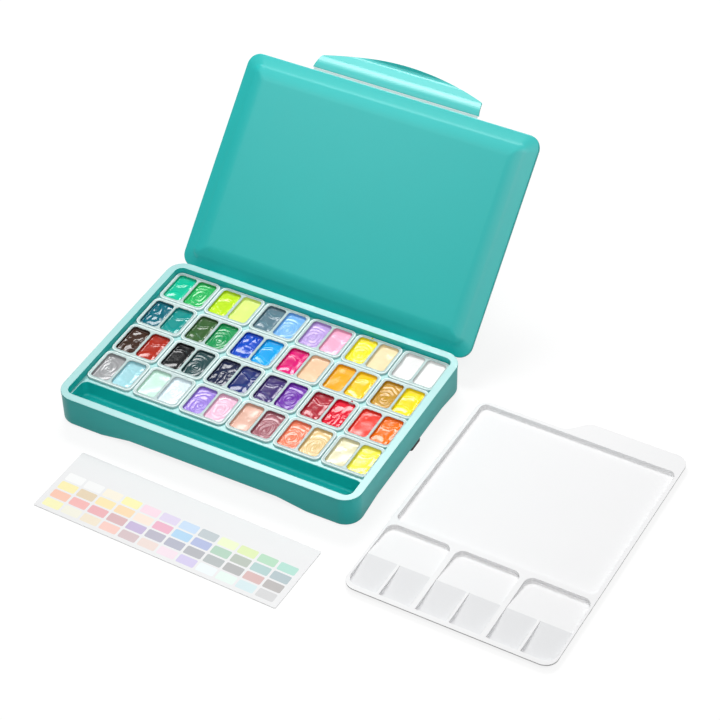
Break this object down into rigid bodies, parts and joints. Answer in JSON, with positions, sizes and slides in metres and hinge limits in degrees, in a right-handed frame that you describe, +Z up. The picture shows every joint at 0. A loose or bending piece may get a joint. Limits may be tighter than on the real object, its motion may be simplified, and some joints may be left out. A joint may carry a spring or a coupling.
{
  "type": "gouache paint set box",
  "caption": "Hinged plastic paint case with lift-out twin paint cups, a brush trough and a fold-down clasp, with a loose mixing palette and a colour card.",
  "frame": {"origin": "on the table, under the middle of the case's base", "axes": "+X to the right seen from the front, +Y towards the hinged rear edge, +Z up; the lid is open"},
  "size_m": [0.5192, 0.4962, 0.185],
  "materials": {
    "turquoise_plastic": "satin moulded plastic",
    "tray_plastic": "satin moulded plastic, lighter",
    "clasp_plastic": "satin moulded plastic",
    "cup_plastic": "frosted, slightly translucent",
    "palette_plastic": "thin glossy sheet",
    "card": "coated board",
    "foot_rubber": "matt",
    "pin_steel": "drawn wire",
    "paint_r1_c1": "wet gouache, two colours, one in each well",
    "paint_r1_c2": "wet gouache, two colours, one in each well",
    "paint_r1_c3": "wet gouache, two colours, one in each well",
    "paint_r1_c4": "wet gouache, two colours, one in each well",
    "paint_r1_c5": "wet gouache, two colours, one in each well",
    "paint_r1_c6": "wet gouache, two colours, one in each well",
    "paint_r2_c1": "wet gouache, two colours, one in each well",
    "paint_r2_c2": "wet gouache, two colours, one in each well",
    "paint_r2_c3": "wet gouache, two colours, one in each well",
    "paint_r2_c4": "wet gouache, two colours, one in each well",
    "paint_r2_c5": "wet gouache, two colours, one in each well",
    "paint_r2_c6": "wet gouache, two colours, one in each well",
    "paint_r3_c1": "wet gouache, two colours, one in each well",
    "paint_r3_c2": "wet gouache, two colours, one in each well",
    "paint_r3_c3": "wet gouache, two colours, one in each well",
    "paint_r3_c4": "wet gouache, two colours, one in each well",
    "paint_r3_c5": "wet gouache, two colours, one in each well",
    "paint_r3_c6": "wet gouache, two colours, one in each well",
    "paint_r4_c1": "wet gouache, two colours, one in each well",
    "paint_r4_c2": "wet gouache, two colours, one in each well",
    "paint_r4_c3": "wet gouache, two colours, one in each well",
    "paint_r4_c4": "wet gouache, two colours, one in each well",
    "paint_r4_c5": "wet gouache, two colours, one in each well",
    "paint_r4_c6": "wet gouache, two colours, one in each well"
  },
  "bodies": {
    "base": {"tub": "turquoise_plastic", "tray_rim": "tray_plastic", "cup_deck": "tray_plastic", "brush_trough": "tray_plastic", "rubber_feet": "foot_rubber", "hinge_pins": "pin_steel"},
    "lid": {"lid_outer_shell": "turquoise_plastic", "lid_inner_panel": "turquoise_plastic", "clasp_hinge_web": "clasp_plastic"},
    "clasp": {"clasp": "clasp_plastic"},
    "cup_r1_c1": {"twin_cup_r1_c1": "cup_plastic", "paint_r1_c1": "paint_r1_c1"},
    "cup_r1_c2": {"twin_cup_r1_c2": "cup_plastic", "paint_r1_c2": "paint_r1_c2"},
    "cup_r1_c3": {"twin_cup_r1_c3": "cup_plastic", "paint_r1_c3": "paint_r1_c3"},
    "cup_r1_c4": {"twin_cup_r1_c4": "cup_plastic", "paint_r1_c4": "paint_r1_c4"},
    "cup_r1_c5": {"twin_cup_r1_c5": "cup_plastic", "paint_r1_c5": "paint_r1_c5"},
    "cup_r1_c6": {"twin_cup_r1_c6": "cup_plastic", "paint_r1_c6": "paint_r1_c6"},
    "cup_r2_c1": {"twin_cup_r2_c1": "cup_plastic", "paint_r2_c1": "paint_r2_c1"},
    "cup_r2_c2": {"twin_cup_r2_c2": "cup_plastic", "paint_r2_c2": "paint_r2_c2"},
    "cup_r2_c3": {"twin_cup_r2_c3": "cup_plastic", "paint_r2_c3": "paint_r2_c3"},
    "cup_r2_c4": {"twin_cup_r2_c4": "cup_plastic", "paint_r2_c4": "paint_r2_c4"},
    "cup_r2_c5": {"twin_cup_r2_c5": "cup_plastic", "paint_r2_c5": "paint_r2_c5"},
    "cup_r2_c6": {"twin_cup_r2_c6": "cup_plastic", "paint_r2_c6": "paint_r2_c6"},
    "cup_r3_c1": {"twin_cup_r3_c1": "cup_plastic", "paint_r3_c1": "paint_r3_c1"},
    "cup_r3_c2": {"twin_cup_r3_c2": "cup_plastic", "paint_r3_c2": "paint_r3_c2"},
    "cup_r3_c3": {"twin_cup_r3_c3": "cup_plastic", "paint_r3_c3": "paint_r3_c3"},
    "cup_r3_c4": {"twin_cup_r3_c4": "cup_plastic", "paint_r3_c4": "paint_r3_c4"},
    "cup_r3_c5": {"twin_cup_r3_c5": "cup_plastic", "paint_r3_c5": "paint_r3_c5"},
    "cup_r3_c6": {"twin_cup_r3_c6": "cup_plastic", "paint_r3_c6": "paint_r3_c6"},
    "cup_r4_c1": {"twin_cup_r4_c1": "cup_plastic", "paint_r4_c1": "paint_r4_c1"},
    "cup_r4_c2": {"twin_cup_r4_c2": "cup_plastic", "paint_r4_c2": "paint_r4_c2"},
    "cup_r4_c3": {"twin_cup_r4_c3": "cup_plastic", "paint_r4_c3": "paint_r4_c3"},
    "cup_r4_c4": {"twin_cup_r4_c4": "cup_plastic", "paint_r4_c4": "paint_r4_c4"},
    "cup_r4_c5": {"twin_cup_r4_c5": "cup_plastic", "paint_r4_c5": "paint_r4_c5"},
    "cup_r4_c6": {"twin_cup_r4_c6": "cup_plastic", "paint_r4_c6": "paint_r4_c6"},
    "palette": {"palette": "palette_plastic"},
    "colour_card": {"colour_card": "card"}
  },
  "joints": [
    {"name": "lid_hinge", "type": "hinge", "parent": "base", "child": "lid", "pos_m": [0, 0.1046, 0.0276], "axis": [-1, 0, 0], "range_deg": [-134.3, 0]},
    {"name": "clasp_fold", "type": "hinge", "parent": "lid", "child": "clasp", "pos_m": [0, 0.25776, 0.17295], "axis": [-1, 0, 0], "range_deg": [-90, 0]},
    {"name": "cup_lift_r1_c1", "type": "slide", "parent": "base", "child": "cup_r1_c1", "axis": [0, 0, 1], "range_m": [0, 0.03]},
    {"name": "cup_lift_r1_c2", "type": "slide", "parent": "base", "child": "cup_r1_c2", "axis": [0, 0, 1], "range_m": [0, 0.03]},
    {"name": "cup_lift_r1_c3", "type": "slide", "parent": "base", "child": "cup_r1_c3", "axis": [0, 0, 1], "range_m": [0, 0.03]},
    {"name": "cup_lift_r1_c4", "type": "slide", "parent": "base", "child": "cup_r1_c4", "axis": [0, 0, 1], "range_m": [0, 0.03]},
    {"name": "cup_lift_r1_c5", "type": "slide", "parent": "base", "child": "cup_r1_c5", "axis": [0, 0, 1], "range_m": [0, 0.03]},
    {"name": "cup_lift_r1_c6", "type": "slide", "parent": "base", "child": "cup_r1_c6", "axis": [0, 0, 1], "range_m": [0, 0.03]},
    {"name": "cup_lift_r2_c1", "type": "slide", "parent": "base", "child": "cup_r2_c1", "axis": [0, 0, 1], "range_m": [0, 0.03]},
    {"name": "cup_lift_r2_c2", "type": "slide", "parent": "base", "child": "cup_r2_c2", "axis": [0, 0, 1], "range_m": [0, 0.03]},
    {"name": "cup_lift_r2_c3", "type": "slide", "parent": "base", "child": "cup_r2_c3", "axis": [0, 0, 1], "range_m": [0, 0.03]},
    {"name": "cup_lift_r2_c4", "type": "slide", "parent": "base", "child": "cup_r2_c4", "axis": [0, 0, 1], "range_m": [0, 0.03]},
    {"name": "cup_lift_r2_c5", "type": "slide", "parent": "base", "child": "cup_r2_c5", "axis": [0, 0, 1], "range_m": [0, 0.03]},
    {"name": "cup_lift_r2_c6", "type": "slide", "parent": "base", "child": "cup_r2_c6", "axis": [0, 0, 1], "range_m": [0, 0.03]},
    {"name": "cup_lift_r3_c1", "type": "slide", "parent": "base", "child": "cup_r3_c1", "axis": [0, 0, 1], "range_m": [0, 0.03]},
    {"name": "cup_lift_r3_c2", "type": "slide", "parent": "base", "child": "cup_r3_c2", "axis": [0, 0, 1], "range_m": [0, 0.03]},
    {"name": "cup_lift_r3_c3", "type": "slide", "parent": "base", "child": "cup_r3_c3", "axis": [0, 0, 1], "range_m": [0, 0.03]},
    {"name": "cup_lift_r3_c4", "type": "slide", "parent": "base", "child": "cup_r3_c4", "axis": [0, 0, 1], "range_m": [0, 0.03]},
    {"name": "cup_lift_r3_c5", "type": "slide", "parent": "base", "child": "cup_r3_c5", "axis": [0, 0, 1], "range_m": [0, 0.03]},
    {"name": "cup_lift_r3_c6", "type": "slide", "parent": "base", "child": "cup_r3_c6", "axis": [0, 0, 1], "range_m": [0, 0.03]},
    {"name": "cup_lift_r4_c1", "type": "slide", "parent": "base", "child": "cup_r4_c1", "axis": [0, 0, 1], "range_m": [0, 0.03]},
    {"name": "cup_lift_r4_c2", "type": "slide", "parent": "base", "child": "cup_r4_c2", "axis": [0, 0, 1], "range_m": [0, 0.03]},
    {"name": "cup_lift_r4_c3", "type": "slide", "parent": "base", "child": "cup_r4_c3", "axis": [0, 0, 1], "range_m": [0, 0.03]},
    {"name": "cup_lift_r4_c4", "type": "slide", "parent": "base", "child": "cup_r4_c4", "axis": [0, 0, 1], "range_m": [0, 0.03]},
    {"name": "cup_lift_r4_c5", "type": "slide", "parent": "base", "child": "cup_r4_c5", "axis": [0, 0, 1], "range_m": [0, 0.03]},
    {"name": "cup_lift_r4_c6", "type": "slide", "parent": "base", "child": "cup_r4_c6", "axis": [0, 0, 1], "range_m": [0, 0.03]},
    {"name": "palette_lift", "type": "slide", "parent": "base", "child": "palette", "axis": [0, 0, 1], "range_m": [0, 0.05]},
    {"name": "card_lift", "type": "slide", "parent": "base", "child": "colour_card", "axis": [0, 0, 1], "range_m": [0, 0.05]}
  ]
}
